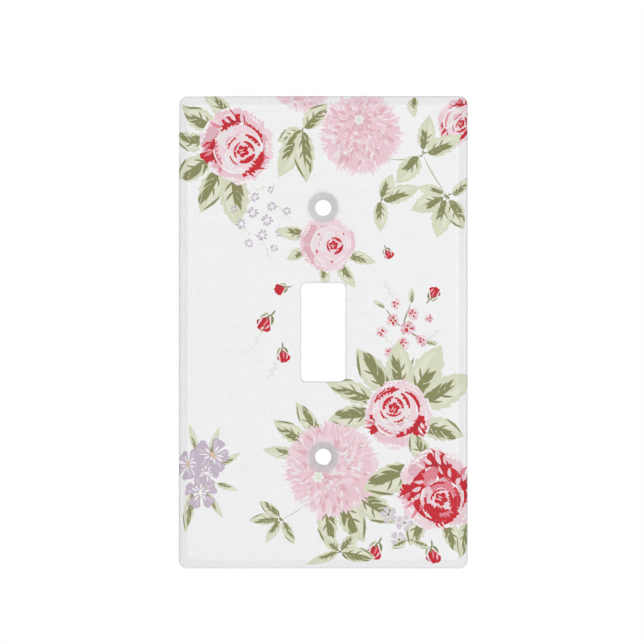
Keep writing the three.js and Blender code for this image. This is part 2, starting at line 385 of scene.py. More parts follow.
def peony(art, centre, radius, turn, seed):
    """A full bloom of soft pink petals, brushed outwards from a white heart that lies off its middle,
    towards its own +z."""
    m = Motif(art, centre, radius, turn, seed=seed)
    m.comb("blush", (0, 0), 0.72, 1.04, 0, 360, 64, 0, 0.6)
    m.comb("pink", (0, 0), 0.60, 0.96, 0, 360, 52, 2, 0.65)
    for number, (petals, span, inner, outer) in enumerate(PEONY_RINGS):
        middle = (0.025 * number, 0.07 * number)
        start = m.vary(0, 360)
        for i in range(petals):
            angle = start + 360 * i / petals + m.vary(-14, 14)
            size = outer * m.vary(0.86, 1.06)
            peony_petal(m, middle, angle, span, inner, size)
    heart = PEONY_HEART_PLACE
    m.comb("rose", heart, 0.10, 0.26, 170, 370, 7, 4)
    m.blob("milk", heart, 0.12, 6, 0.3)
    for angle in range(0, 360, 60):
        m.dab("mist", heart, polar(angle, 0.12, heart), 0.04)


def daisy(art, centre, radius):
    """A small lilac flower of eight separate petals."""
    m = Motif(art, centre, radius, seed=round(centre[0] * 7 + centre[1] * 13 + 500))
    for i in range(8):
        angle = 45 * i + m.vary(-9, 9)
        tip = polar(angle + m.vary(-8, 8), m.vary(0.75, 1.0))
        m.dab("lilac", polar(angle, 0.22), tip, 0.34, belly=0.6)


def violet(art, centre, radius, turn, ink="lilac_soft", eye="olive"):
    """A flat five-petalled flower with a small eye."""
    m = Motif(art, centre, radius, turn, seed=round(centre[0] * 11 + 77))
    for i in range(5):
        angle = 72 * i + m.vary(-6, 6)
        m.petal(ink, (0, 0), angle, m.vary(48, 60), 0.04, m.vary(0.82, 1.0), lobes=2, ragged=0.05)
        m.dab("lilac_soft", polar(angle + 8, 0.35), polar(angle + 12, 0.85), 0.12, 0.02)
        m.dab("milk", polar(angle, 0.18), polar(angle - 8, m.vary(0.45, 0.65)), 0.10)
    m.dab(eye, (-0.2, 0.03), (0.2, -0.03), 0.2)


def blossom(art, centre, radius):
    """A small ragged blossom, pink with a red heart."""
    m = Motif(art, centre, radius, seed=round(centre[0] * 9 + centre[1] * 5 + 300))
    for i in range(5):
        ink = m.random.choice(("pink", "blush", "rose"))
        angle = 72 * i + m.vary(-9, 9)
        m.petal(ink, (0, 0), angle, 60, 0.1, m.vary(0.8, 1.05))
    for i in range(4):
        angle = 90 * i + m.vary(-30, 30)
        m.dab("red", polar(angle, 0.05), polar(angle, m.vary(0.4, 0.7)), m.vary(0.2, 0.34), belly=0.6)


def bud(art, place, size, turn, pale=True):
    """A closed bud that points along its own +x, held by sepals, with pale brush marks if pale."""
    m = Motif(art, place, size, turn, seed=round(place[0] * 3 + place[1] + 90))
    m.petal("red", (0, 0), 14, 50, 0.02, 0.96, lobes=1)
    m.petal("crimson", (0, 0), -16, 44, 0.02, 0.86, lobes=1)
    m.petal("red", (0, 0), 0, 34, 0.02, 1.0, lobes=2)
    if pale:
        m.dab("coral", (0.18, 0.05), (0.7, 0.02), 0.12, 0.03)
        m.dab("blush", (0.3, -0.26), (0.86, -0.24), 0.12, -0.03)
        m.dab("pink", (0.4, 0.3), (0.8, 0.2), 0.1, 0.03)
    m.dab("olive", (-0.5, 0.1), (0.06, 0.0), 0.11, 0.05)
    m.dab("olive", (-0.12, 0.08), (0.4, 0.4), 0.17, 0.06)
    m.dab("moss", (-0.12, -0.08), (0.42, -0.38), 0.15, -0.06)
    m.dab("olive", (-0.1, 0.0), (0.3, -0.05), 0.12)


def twig(art, start, end, leaves=5):
    """A faint stem with small dabs of leaves on both sides."""
    m = Motif(art, seed=round(start[0] * 5 + start[1] * 3 + 400))
    m.dab("mist", start, end, TWIG_WIDTH)
    heading = math.degrees(math.atan2(end[1] - start[1], end[0] - start[0]))
    for i in range(leaves):
        t = (i + 0.6) / leaves
        side = 1 if i % 2 else -1
        joint = (mix(start[0], end[0], t), mix(start[1], end[1], t))
        angle = heading + side * m.vary(35, 60)
        length = TWIG_LEAF_LENGTH * m.vary(0.8, 1.3)
        m.dab("mist", joint, polar(angle, length, joint), TWIG_LEAF_LENGTH * 0.4)


def stem(art, start, end, bend, width, ink="moss"):
    """A bare stem, bent to its left by bend."""
    Motif(art).dab(ink, start, end, width, bend)


def fan(art, centre, foot, leaves):
    """Leaves that point away from a centre, each on a short stalk and with its foot at a distance. Each is
    given by its angle, length, width and darkness."""
    for number, (angle, length, width, dark) in enumerate(leaves):
        start = polar(angle, foot, centre)
        tip = polar(angle + FAN_TWIST, foot + length, centre)
        stem(art, centre, start, 0.1, STALK_WIDTH, "olive")
        leaf(art, start, tip, width, 1 if number % 2 else -1, dark)


def scatter(centre, count, spacing, first=0):
    """Places on a sunflower spiral, so that a cluster is even but has no rows."""
    for number in range(first, first + count):
        yield number, polar(SUNFLOWER_TURN * number, spacing * math.sqrt(number + 0.4), centre)


def draw_upper_left(art):
    """A deep rose in a fan of leaves, and two peonies at the top edge."""
    place = (-21, 45)
    fan(art, place, 7.0, (
        (108, 8, 4.6, 0.7), (140, 9, 5.2, 0.8), (172, 9, 4.6, 0.9),
        (204, 10, 5.4, 1.0), (236, 11, 5.6, 0.9), (264, 12, 7.0, 0.6),
    ))
    peony(art, (-5, 60), 7.2, 35, seed=31)
    fan(art, (-5, 49), 0.5, (
        (40, 8, 4.4, 0.9), (200, 6, 3.6, 0.9), (238, 12, 5.6, 0.6), (268, 12, 5.0, 0.8),
    ))
    peony(art, (9, 48), 10.4, 25, seed=3)
    rose(art, place, 9.2, 100, deep=((-40, 30), (60, 130), (170, 240)), seed=5)


def draw_daisies(art):
    """A cluster of small daisies with faint twigs."""
    centre = (-15, 27)
    for number, place in scatter(centre, 5, 3.0, first=2):
        twig(art, place, polar(250 + 20 * number, 5.5, place), leaves=4)
    for number, place in scatter(centre, 12, 2.3):
        daisy(art, place, 1.7 - 0.06 * number)


def draw_upper_right(art):
    """Leafy sprays under a rose that runs over the edge."""
    joint = (24, 43)
    lower_joint = (30, 33)
    leaf(art, (21, 57), (22, 52), 2.6, 1, 0.5)
    rose(art, (33, 51), 6.0, 70, deep=((-20, 60), (110, 170), (230, 300)), seed=8)
    stem(art, joint, (15, 42), 0.8, 0.3)
    stem(art, joint, lower_joint, -0.4, 0.3)
    fan(art, joint, 1.2, ((18, 9, 4.4, 0.7), (74, 8, 4.2, 0.5), (222, 8, 4.8, 0.5)))
    fan(art, lower_joint, 1.2, (
        (158, 6, 3.0, 0.4), (196, 8, 4.6, 0.5), (250, 9, 5.0, 0.4),
        (290, 8, 4.4, 0.8), (20, 6, 3.0, 0.7),
    ))
    fan(art, (14, 32), 0.5, ((12, 9, 4.2, 0.6), (60, 6, 3.4, 0.6), (262, 7, 3.4, 0.6)))
    bud(art, (15, 20), 2.6, -60)


def draw_middle(art):
    """A pale rose under the upper screw, and three buds beside the opening."""
    place = (1, 21.5)
    fan(art, place, 5.4, (
        (160, 7, 3.4, 0.7), (196, 5, 2.8, 0.6), (262, 5, 2.6, 0.6),
        (296, 7, 3.2, 0.7), (332, 7, 3.0, 0.7),
    ))
    rose(art, place, 7.0, 120, seed=11)
    bud(art, (-9, 11), 3.0, 200, pale=False)
    bud(art, (-13, 4), 4.2, 236)
    bud(art, (-10, -4), 3.4, 280)
    twig(art, (-14, 2), (-17, -4))
    twig(art, (-11, -7), (-13, -11))


def draw_blossoms(art):
    """A spray of small blossoms right of the opening."""
    centre = (19, 1)
    bud(art, (26, 8), 3.2, 60)
    for number, place in scatter(centre, 4, 2.8, first=3):
        twig(art, place, polar(80 * number, 5, place))
    fan(art, centre, 6.5, ((70, 3.5, 1.5, 0.7), (130, 3, 1.3, 0.4), (330, 3, 1.3, 0.8)))
    for number, place in scatter(centre, 9, 2.4):
        blossom(art, place, 1.9 - 0.08 * number)
    stem(art, (20, -11), (22, -6), 0.1, 0.8, "olive")


def draw_lower_right(art):
    """The largest group: a peony round the lower screw and two deep roses, with leaves between them."""
    upper_rose = (18, -20)
    lower_rose = (28, -38)
    peony_place = (2, -33)
    fan(art, upper_rose, 6.5, (
        (338, 10, 5.6, 0.9), (22, 14, 7.0, 0.6), (52, 13, 7.2, 0.4), (84, 11, 6.2, 0.7),
        (116, 12, 6.2, 1.0), (148, 13, 5.0, 0.8), (178, 10, 5.6, 1.0),
    ))
    fan(art, peony_place, 9.0, (
        (112, 9, 3.8, 0.9), (134, 9, 4.2, 0.8), (158, 8, 3.0, 0.5),
        (262, 10, 4.8, 1.0), (288, 10, 6.0, 0.9), (314, 11, 6.2, 0.9),
    ))
    peony(art, peony_place, 12.0, 140, seed=14)
    rose(art, upper_rose, 8.6, 160, mirror=True, deep=((-20, 40), (100, 170)), folds=((20, 70),), seed=21)
    leaf(art, (21, -33), (10, -38), 7.2, -1, 1.0, bend=0.03)
    fan(art, lower_rose, 8.0, ((112, 7, 4.6, 0.8), (236, 7, 4.6, 0.9), (282, 8, 4.2, 0.9)))
    rose(
        art, lower_rose, 10.0, 60, seed=25, globe_inks=("coral", "pink", "red"),
        deep=((-90, -20), (0, 70), (90, 150), (180, 240)), folds=((-50, 20), (60, 130), (150, 220)),
    )
    for number, place in scatter((18, -46), 3, 2.6):
        violet(art, place, 2.2, 33 * number)


def draw_foot(art):
    """Buds and sprays along the lower edge."""
    joint = (-10, -45)
    bud(art, (13, -51), 4.0, 250)
    bud(art, (26, -52), 4.0, 280)
    fan(art, (21, -50), 1.0, ((200, 4, 1.6, 0.9), (330, 4, 1.7, 0.9)))
    leaf(art, (35, -45), (33, -54), 3.4, 1, 0.8)
    fan(art, (4, -53), 0.5, (
        (345, 8, 3.8, 1.0), (128, 5, 2.8, 0.4), (196, 8, 2.4, 0.5), (40, 6, 3.0, 0.7),
    ))
    stem(art, (-5, -42), joint, 0.3, 0.2)
    fan(art, joint, 0.8, (
        (136, 6, 2.6, 0.9), (176, 7, 2.8, 0.8), (230, 6, 2.3, 0.6), (290, 6, 2.4, 0.8),
    ))


def draw_violets(art):
    """A cluster of violets at the left edge."""
    centre = (-30, -34)
    fan(art, centre, 5.0, (
        (60, 7, 1.8, 0.5), (95, 7, 1.7, 0.4), (20, 6, 1.7, 0.7),
        (330, 5, 1.6, 0.7), (292, 7, 1.8, 0.7), (250, 9, 2.8, 1.0),
    ))
    for number, place in scatter(centre, 4, 3.0):
        violet(art, place, 3.6 + 0.4 * number, 47 * number, "lilac", "straw" if number % 2 else "milk")


def draw_print():
    """A cottage-garden print: generic flowers in groups, with bare cloth between them."""
    art = []
    for draw in (draw_upper_left, draw_daisies, draw_upper_right, draw_middle,
                 draw_blossoms, draw_lower_right, draw_foot, draw_violets):
        draw(art)
    return art


# The film: flat artwork rolled over the front, the bevels, the opening's edge and the countersinks.
# A point of the flat print is (x, z). Its margins are unrolled, so that they run by arc length.

RIDGE_LENGTH = RIDGE_RADIUS * BEVEL_SLOPE
BEVEL_LENGTH = BEVEL_RUN / math.cos(BEVEL_SLOPE)
EDGE_TURN = math.pi / 2 - BEVEL_SLOPE
EDGE_LENGTH = EDGE_RADIUS * EDGE_TURN
EDGE_RUN = EDGE_RADIUS * (1 - math.sin(BEVEL_SLOPE))
FACE_INSET = EDGE_RUN + BEVEL_RUN + RIDGE_RADIUS * math.sin(BEVEL_SLOPE)
EDGE_DROP = (
    RIDGE_RADIUS * (1 - math.cos(BEVEL_SLOPE))
    + BEVEL_RUN * math.tan(BEVEL_SLOPE)
    + EDGE_RADIUS * math.cos(BEVEL_SLOPE)
)
SIDE_LENGTH = DEPTH - EDGE_DROP - FILM_FOOT
SKIRT_LENGTH = RIDGE_LENGTH + BEVEL_LENGTH + EDGE_LENGTH + SIDE_LENGTH
CORE = HALF_SIZE - FACE_INSET - FACE_CORNER_RADIUS

OPENING_CORNER = OPENING_HALF_SIZE - OPENING_CORNER_RADIUS
OPENING_RIM_RADIUS = OPENING_CORNER_RADIUS + OPENING_EDGE_RADIUS
OPENING_ROLL = OPENING_EDGE_RADIUS * math.pi / 2
OPENING_LENGTH = OPENING_ROLL + OPENING_FILM_WRAP

SINK_TOP = COUNTERSINK_RADIUS + COUNTERSINK_EDGE_RADIUS * math.tan(COUNTERSINK_SLOPE / 2)
SINK_CONE_TOP = SINK_TOP - COUNTERSINK_EDGE_RADIUS * math.sin(COUNTERSINK_SLOPE)

CORNER_STEPS = 14
RIDGE_STEPS = 4
EDGE_STEPS = 8
HOLE_STEPS = 72
SHORTEST_EDGE = 0.001
MESH_TOLERANCE = 1e-4
NEVER_ZERO = 1e-9
NEVER_ZERO_AREA = 1e-12


def from_core(points, core):
    """How far points lie outside a core rectangle, and in which direction."""
    outside = np.maximum(np.abs(points) - core, 0)
    distance = np.hypot(outside[:, 0], outside[:, 1])
    return distance, outside / np.maximum(distance, NEVER_ZERO)[:, None] * np.where(points < 0, -1.0, 1.0)


def tilted(heading, tilt):
    """Normals that lean from straight up towards a heading."""
    return np.column_stack([heading * np.sin(tilt)[:, None], np.cos(tilt)])


def roll_skirt(points, place, normal):
    """Rolls the outer margin over the ridge, down the bevel and round the edge to the film's foot."""
    distance, heading = from_core(points, CORE)
    along = np.maximum(distance - FACE_CORNER_RADIUS, 0)
    ridge = np.clip(along / RIDGE_RADIUS, 0, BEVEL_SLOPE)
    bevel = np.clip(along - RIDGE_LENGTH, 0, BEVEL_LENGTH)
    turn = BEVEL_SLOPE + np.clip((along - RIDGE_LENGTH - BEVEL_LENGTH) / EDGE_RADIUS, 0, EDGE_TURN)
    side = np.maximum(along - RIDGE_LENGTH - BEVEL_LENGTH - EDGE_LENGTH, 0)
    run = (
        RIDGE_RADIUS * np.sin(ridge)
        + bevel * math.cos(BEVEL_SLOPE)
        + EDGE_RADIUS * (np.sin(turn) - math.sin(BEVEL_SLOPE))
    )
    drop = (
        RIDGE_RADIUS * (1 - np.cos(ridge))
        + bevel * math.sin(BEVEL_SLOPE)
        + EDGE_RADIUS * (math.cos(BEVEL_SLOPE) - np.cos(turn))
        + side
    )
    inset = FACE_INSET - run
    corner = OUTLINE_CORNER_RADIUS + (FACE_CORNER_RADIUS - OUTLINE_CORNER_RADIUS) * inset / FACE_INSET
    straight = HALF_SIZE - (inset + corner)[:, None]
    spread = straight * np.clip(points / CORE, -1, 1) + corner[:, None] * heading
    on_skirt = along > 0
    tilt = np.where(along < RIDGE_LENGTH, ridge, turn)
    place[on_skirt, :2] = spread[on_skirt]
    place[on_skirt, 2] -= drop[on_skirt]
    normal[on_skirt] = tilted(heading, tilt)[on_skirt]


def roll_opening(points, place, normal):
    """Rolls the print over the opening's rounded edge and a little way down its wall."""
    distance, heading = from_core(points, OPENING_CORNER)
    along = OPENING_RIM_RADIUS - distance
    inside = along > 0
    tilt = np.clip(along / OPENING_EDGE_RADIUS, 0, math.pi / 2)
    radius = OPENING_RIM_RADIUS - OPENING_EDGE_RADIUS * np.sin(tilt)
    drop = OPENING_EDGE_RADIUS * (1 - np.cos(tilt)) + np.maximum(along - OPENING_ROLL, 0)
    core = np.clip(points, -OPENING_CORNER, OPENING_CORNER)
    place[inside, :2] = (core + radius[:, None] * heading)[inside]
    place[inside, 2] -= drop[inside]
    normal[inside] = tilted(-heading, tilt)[inside]


def sink_print(points, place, normal, screw_height):
    """Sinks the print into one countersink; seen from the front it keeps its place."""
    arm = points - np.array([0, screw_height])
    radius = np.hypot(arm[:, 0], arm[:, 1])
    inside = radius < SINK_TOP
    sine = np.clip((SINK_TOP - radius) / COUNTERSINK_EDGE_RADIUS, 0, math.sin(COUNTERSINK_SLOPE))
    tilt = np.arcsin(sine)
    cone = np.maximum(SINK_CONE_TOP - radius, 0)
    drop = COUNTERSINK_EDGE_RADIUS * (1 - np.cos(tilt)) + cone * math.tan(COUNTERSINK_SLOPE)
    heading = arm / np.maximum(radius, NEVER_ZERO)[:, None]
    place[inside, 2] -= drop[inside]
    normal[inside] = tilted(-heading, tilt)[inside]


def roll_print(points):
    """Where points of the flat print lie on the plate, and the outward normals there."""
    place = np.column_stack([points, np.full(len(points), DEPTH)])
    normal = np.tile([0.0, 0.0, 1.0], (len(points), 1))
    roll_skirt(points, place, normal)
    roll_opening(points, place, normal)
    for screw_height in SCREW_HEIGHTS:
        sink_print(points, place, normal, screw_height)
    return place, normal


def rounded_ring(core, radius):
    """A rounded rectangle: quarter circles of one radius round the corners of a core."""
    ring = []
    for quarter, (side_x, side_z) in enumerate(((1, 1), (-1, 1), (-1, -1), (1, -1))):
        for i in range(CORNER_STEPS + 1):
            angle = math.radians(90 * (quarter + i / CORNER_STEPS))
            x = side_x * core[0] + radius * math.cos(angle)
            z = side_z * core[1] + radius * math.sin(angle)
            ring.append((x, z))
    return ring


def circle(radius, centre_z):
    """A circle round a point on the plate's middle line."""
    turns = [math.tau * i / HOLE_STEPS for i in range(HOLE_STEPS)]
    return [(radius * math.cos(turn), centre_z + radius * math.sin(turn)) for turn in turns]


def fold_rings():
    """The lines along which the flat print bends, so that no triangle cuts a curve short."""
    skirt = [RIDGE_LENGTH * i / RIDGE_STEPS for i in range(RIDGE_STEPS + 1)]
    edge_start = RIDGE_LENGTH + BEVEL_LENGTH
    skirt += [edge_start + EDGE_LENGTH * i / EDGE_STEPS for i in range(EDGE_STEPS + 1)]
    skirt.append(SKIRT_LENGTH)
    rings = [rounded_ring(CORE, FACE_CORNER_RADIUS + along) for along in skirt]
    opening = [OPENING_ROLL * i / EDGE_STEPS for i in range(EDGE_STEPS + 1)] + [OPENING_LENGTH]
    rings += [rounded_ring(OPENING_CORNER, OPENING_RIM_RADIUS - along) for along in opening]
    for screw_height in SCREW_HEIGHTS:
        for i in range(EDGE_STEPS + 1):
            tilt = COUNTERSINK_SLOPE * i / EDGE_STEPS
            rings.append(circle(SINK_TOP - COUNTERSINK_EDGE_RADIUS * math.sin(tilt), screw_height))
        rings.append(circle(SCREW_HOLE_RADIUS, screw_height))
    return rings


def holds(outline, points):
    """True for the points inside a closed outline."""
    inside = np.zeros(len(points), bool)
    x, z = points.T
    for (x0, z0), (x1, z1) in zip(outline, outline[1:] + outline[:1]):
        if z0 == z1:
            continue
        crosses = (z0 > z) != (z1 > z)
        inside ^= crosses & (x < (x1 - x0) * (z - z0) / (z1 - z0) + x0)
    return inside


def on_film(points):
    """True for the points that belong to the film: inside its edge and outside its holes."""
    inside = holds(rounded_ring(CORE, FACE_CORNER_RADIUS + SKIRT_LENGTH), points)
    inside &= ~holds(rounded_ring(OPENING_CORNER, OPENING_RIM_RADIUS - OPENING_LENGTH), points)
    for screw_height in SCREW_HEIGHTS:
        inside &= ~holds(circle(SCREW_HOLE_RADIUS, screw_height), points)
    return inside


def loop_edges(loops):
    """The points and edges of closed loops."""
    points = []
    edges = []
    for loop in loops:
        first = len(points)
        points += loop
        edges += [(first + i, first + (i + 1) % len(loop)) for i in range(len(loop))]
    return points, edges


def triangulate(points, edges):
    """The points, edges and triangles of a flat mesh over the film that keeps every given edge, with the
    numbers of the given points and edges that each made point and edge comes from."""
    made, sides, faces, point_origins, side_origins, _ = delaunay_2d_cdt(
        [Vector(point) for point in points], edges, [], 0, MESH_TOLERANCE,
    )
    flat = np.array([point[:] for point in made])
    triangles = np.array([face for face in faces])
    kept = triangles[on_film(flat[triangles].mean(axis=1))]
    return flat, sides, kept, point_origins, side_origins


def linear(colour):
    """Screen colour values as linear light."""
    return [v / 12.92 if v <= 0.04045 else ((v + 0.055) / 1.055) ** 2.4 for v in colour]


def ink_numbers(flat, triangles, art):
    """For each triangle, the number of the ink painted last at its centre."""
    inks = list(INK)
    centres = flat[triangles].mean(axis=1)
    numbers = np.full(len(triangles), inks.index("ground"))
    for ink, outline in art:
        low = np.min(outline, axis=0)
        high = np.max(outline, axis=0)
        near = np.flatnonzero(((centres > low) & (centres < high)).all(axis=1))
        numbers[near[holds(outline, centres[near])]] = inks.index(ink)
    return numbers


def print_front(folds, art):
    """The flat front of the film, cut only along its folds and where one ink meets another."""
    points, edges = loop_edges(folds + [outline for _, outline in art])
    fold_count = sum(len(fold) for fold in folds)
    flat, sides, triangles, _, origins = triangulate(points, edges)
    numbers = ink_numbers(flat, triangles, art)
    inks_beside = {}
    for triangle, number in zip(triangles.tolist(), numbers.tolist()):
        for a, b in zip(triangle, triangle[1:] + triangle[:1]):
            inks_beside.setdefault((min(a, b), max(a, b)), set()).add(number)
    kept = []
    for (a, b), origin in zip(sides, origins):
        inks = inks_beside.get((min(a, b), max(a, b)))
        if inks and (len(inks) > 1 or any(source < fold_count for source in origin)):
            kept.append((a, b))
    used, ends = np.unique(np.array(kept), return_inverse=True)
    flat, _, triangles, _, _ = triangulate(flat[used].tolist(), ends.reshape(-1, 2).tolist())
    return flat, triangles, ink_numbers(flat, triangles, art)


def sides_of(triangles):
    """The sides of all triangles, as pairs of point numbers."""
    return np.concatenate([triangles[:, [0, 1]], triangles[:, [1, 2]], triangles[:, [2, 0]]])


def rim_edges(triangles):
    """The edges that only one triangle uses, in that triangle's direction."""
    sides = sides_of(triangles).tolist()
    used = set(map(tuple, sides))
    return [(a, b) for a, b in sides if (b, a) not in used]


def join_short_edges(places, faces):
    """The faces with the ends of every very short edge made one point."""
    joined = list(range(len(places)))

    def root(point):
        while joined[point] != point:
            point = joined[point]
        return point

    sides = sides_of(faces)
    lengths = np.linalg.norm(places[sides[:, 0]] - places[sides[:, 1]], axis=1)
    for a, b in sides[lengths < SHORTEST_EDGE].tolist():
        joined[max(root(a), root(b))] = min(root(a), root(b))
    roots = np.array([root(point) for point in range(len(places))])
    return roots[faces]


def rim_loops(rim):
    """The rim's edges put in order, as closed loops of point numbers."""
    following = dict(rim)
    loops = []
    while following:
        start, point = following.popitem()
        loop = [start]
        while point != start:
            loop.append(point)
            point = following.pop(point)
        loops.append(loop)
    return loops


def plain_back(flat, loops, folds):
    """The flat inside of the film: its points and triangles, and the partner of each point of the rim."""
    rings = [[flat[i].tolist() for i in loop] for loop in loops]
    back_flat, _, back, origins, _ = triangulate(*loop_edges(rings + folds))
    rim_order = [i for loop in loops for i in loop]
    partner = {}
    for made, origin in enumerate(origins):
        for source in origin:
            if source < len(rim_order):
                partner[rim_order[source]] = made
    return back_flat, back, partner


def face_normals(corners):
    """The normals of flat triangles, each given by its three corners."""
    across = np.cross(corners[:, 1] - corners[:, 0], corners[:, 2] - corners[:, 0])
    return across / np.maximum(np.linalg.norm(across, axis=1), NEVER_ZERO_AREA)[:, None]


def to_world(local):
    """Turns (x, z up, height) into Blender's axes, where the plate's front faces -y."""
    return np.stack([local[..., 0], -local[..., 2], local[..., 1]], axis=-1)


def film_mesh(places, faces, inks, normals):
    """The mesh of the film. Triangles that lose a side when short edges are joined are left out."""
    faces = join_short_edges(places, faces)
    whole = (faces[:, 0] != faces[:, 1]) & (faces[:, 1] != faces[:, 2]) & (faces[:, 2] != faces[:, 0])
    used, compact = np.unique(faces[whole], return_inverse=True)
    world = to_world(places)[used] * MM
    mesh = bpy.data.meshes.new("print_film")
    mesh.from_pydata(world.tolist(), [], compact.reshape(-1, 3).tolist())
    colours = np.column_stack([np.repeat(inks[whole], 3, axis=0), np.ones(compact.size)])
    layer = mesh.color_attributes.new("ink", "FLOAT_COLOR", "CORNER")
    layer.data.foreach_set("color", colours.astype(np.float32).ravel())
    mesh.polygons.foreach_set("use_smooth", np.ones(len(mesh.polygons), bool))
    mesh.normals_split_custom_set(normals[whole].reshape(-1, 3).tolist())
    return mesh


def build_film():
    """A closed film with the print on its outside and a plain inside, FILM_THICKNESS below."""
    folds = fold_rings()
    flat, front, numbers = print_front(folds, draw_print())
    rim = rim_edges(front)
    back_flat, back, partner = plain_back(flat, rim_loops(rim), folds)

    place, normal = roll_print(flat)
    back_place, back_normal = roll_print(back_flat)
    shift = len(flat)
    places = np.concatenate([place, back_place - FILM_THICKNESS * back_normal])
    strips = [(b, a, shift + partner[a]) for a, b in rim]
    strips += [(b, shift + partner[a], shift + partner[b]) for a, b in rim]
    faces = np.concatenate([front, back[:, ::-1] + shift, np.array(strips)])

    palette = np.array([linear(colour) for colour in INK.values()])
    inks = np.tile(linear(INK["ground"]), (len(faces), 1))
    inks[:len(front)] = palette[numbers]
    first_strip = len(front) + len(back)
    normals = np.concatenate([normal, -back_normal])[faces]
    normals[first_strip:] = face_normals(places[faces[first_strip:]])[:, None, :]
    return add_object("printed_film", film_mesh(places, faces, inks, to_world(normals)))


# The shell under the film

SHELL_EDGE_RADIUS = 0.12
SHELL_EDGE_SEGMENTS = 3
SHARP_ANGLE = math.radians(32)
FLAT_ANGLE = math.radians(0.5)
WELD_DISTANCE = 0.002


def build_shell():
    """The moulding with its edges rounded as a mould leaves them, and evenly shaded flat faces."""
    mesh = frame["nodes"]["plate_shell"].data.copy()
    mesh.name = "shell"
    work = bmesh.new()
    work.from_mesh(mesh)
    bmesh.ops.remove_doubles(work, verts=work.verts, dist=WELD_DISTANCE * MM)
    bmesh.ops.dissolve_limit(work, angle_limit=FLAT_ANGLE, verts=work.verts, edges=work.edges)
    work.to_mesh(mesh)
    work.free()
    shell = add_object("moulded_shell", mesh)
    bevel = shell.modifiers.new("mould_edges", "BEVEL")
    bevel.width = SHELL_EDGE_RADIUS * MM
    bevel.segments = SHELL_EDGE_SEGMENTS
    bevel.limit_method = "ANGLE"
    bevel.angle_limit = SHARP_ANGLE
    even = shell.modifiers.new("even_flats", "WEIGHTED_NORMAL")
    even.mode = "FACE_AREA_WITH_ANGLE"
    for polygon in mesh.polygons:
        polygon.use_smooth = True
    return shell


# Materials

# Painted shade in the countersinks: how strongly the print is greyed, and the radii in millimetres from a
# screw where the grey is full and where it ends.
SINK_SHADE = 0.75
SINK_SHADE_FROM = SINK_TOP - 0.6
SINK_SHADE_TO = SINK_TOP + 0.5
FILM_IOR = 1.46
PLASTIC_WHITE = (0.80, 0.80, 0.79, 1.0)
PLASTIC_IOR = 1.5
FLOOR_GREY = (0.80, 0.80, 0.80, 1.0)
FLOOR_ROUGHNESS = 0.85
FLOOR_GLOW = 0.12
WHITE = (1, 1, 1, 1)


def fill(node, **values):
    """Sets sockets of a node. An underscore in a name stands for a space."""
    for name, value in values.items():
        node.inputs[name.replace("_", " ")].default_value = value


class Nodes:
    """The nodes of a material or a world, made and joined in short calls."""

    def __init__(self, owner, shader="Principled BSDF", coordinates="Object"):
        owner.use_nodes = True
        self.owner = owner
        self.tree = owner.node_tree
        self.shader = self.tree.nodes[shader]
        self.place = self.add("ShaderNodeTexCoord").outputs[coordinates]

    def add(self, kind, **settings):
        """A new node with its settings."""
        node = self.tree.nodes.new(kind)
        for name, value in settings.items():
            setattr(node, name, value)
        return node

    def join(self, source, target):
        """Links an output to an input."""
        self.tree.links.new(source, target)

    def noise(self, waves_per_mm, detail, stretch=(1, 1, 1)):
        """Noise with about so many waves to a millimetre, drawn out along the axes of stretch."""
        size = self.add("ShaderNodeMapping")
        fill(size, Scale=[waves_per_mm / MM / amount for amount in stretch])
        self.join(self.place, size.inputs["Vector"])
        noise = self.add("ShaderNodeTexNoise")
        fill(noise, Scale=1.0, Detail=detail)
        self.join(size.outputs["Vector"], noise.inputs["Vector"])
        return noise.outputs["Fac"]

    def spread(self, source, low, high, source_low=0.25, source_high=0.75):
        """A value between source_low and source_high spread over the range from low to high."""
        ranged = self.add("ShaderNodeMapRange")
        fill(ranged, From_Min=source_low, From_Max=source_high, To_Min=low, To_Max=high)
        self.join(source, ranged.inputs["Value"])
        return ranged.outputs["Result"]

    def math(self, operation, a, b=None):
        """A calculation on one value or two, each another node's output or a plain number."""
        node = self.add("ShaderNodeMath", operation=operation)
        for value, socket in zip((a, b), node.inputs):
            if isinstance(value, (int, float)):
                socket.default_value = value
            elif value is not None:
                self.join(value, socket)
        return node.outputs["Value"]

    def axes(self):
        """The x, y and z of the place or heading that is shaded."""
        node = self.add("ShaderNodeSeparateXYZ")
        self.join(self.place, node.inputs["Vector"])
        return node.outputs["X"], node.outputs["Y"], node.outputs["Z"]

    def shade(self, colour, amount):
        """A colour made lighter or darker by an amount around 1."""
        scaled = self.add("ShaderNodeVectorMath", operation="SCALE")
        self.join(colour, scaled.inputs[0])
        self.join(amount, scaled.inputs["Scale"])
        return scaled.outputs["Vector"]

    def bump(self, height, distance_mm, strength):
        """Raises and lowers the shading by a height."""
        node = self.add("ShaderNodeBump")
        fill(node, Strength=strength, Distance=distance_mm * MM)
        self.join(height, node.inputs["Height"])
        self.join(node.outputs["Normal"], self.shader.inputs["Normal"])


def sink_shade_mask(n):
    """1 in the countersinks, falling to 0 just outside them: the mask of a painted shade that greys the print
    there.
    """
    across, _, up = n.axes()
    height = n.math("ABSOLUTE", up)
    height = n.math("SUBTRACT", height, max(SCREW_HEIGHTS) * MM)
    squared = n.math("ADD", n.math("MULTIPLY", across, across), n.math("MULTIPLY", height, height))
    radius = n.math("SQRT", squared)
    return n.spread(radius, 1.0, 0.0, SINK_SHADE_FROM * MM, SINK_SHADE_TO * MM)


